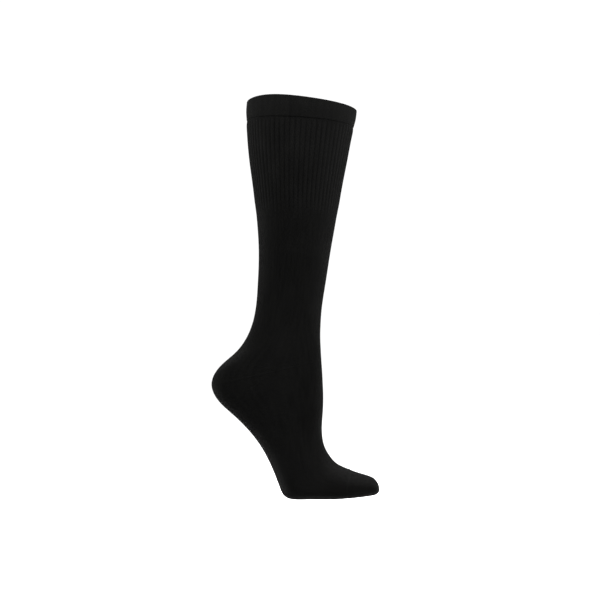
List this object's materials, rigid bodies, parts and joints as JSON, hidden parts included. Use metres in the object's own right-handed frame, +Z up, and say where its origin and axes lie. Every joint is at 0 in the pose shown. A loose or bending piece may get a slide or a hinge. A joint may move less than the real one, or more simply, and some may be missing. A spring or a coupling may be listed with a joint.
{
  "type": "compression stocking",
  "caption": "Knee-high closed-toe compression stocking in near-black knit, filled out on a lifted heel, with a plain turned welt and a ribbed upper leg.",
  "frame": {"origin": "centre of the opening at the top of the welt, where the wearer's leg holds it up", "axes": "+Z up along the leg, +X towards the toes, +Y across the stocking; the XZ plane is its plane of symmetry"},
  "size_m": [0.1844, 0.112, 0.4358],
  "materials": {
    "welt": "matte",
    "leg": "matte",
    "heel": "matte",
    "foot": "matte",
    "toe": "matte"
  },
  "bodies": {
    "root": {"welt": "welt", "leg": "leg", "heel": "heel", "foot": "foot", "toe": "toe"}
  },
  "joints": []
}
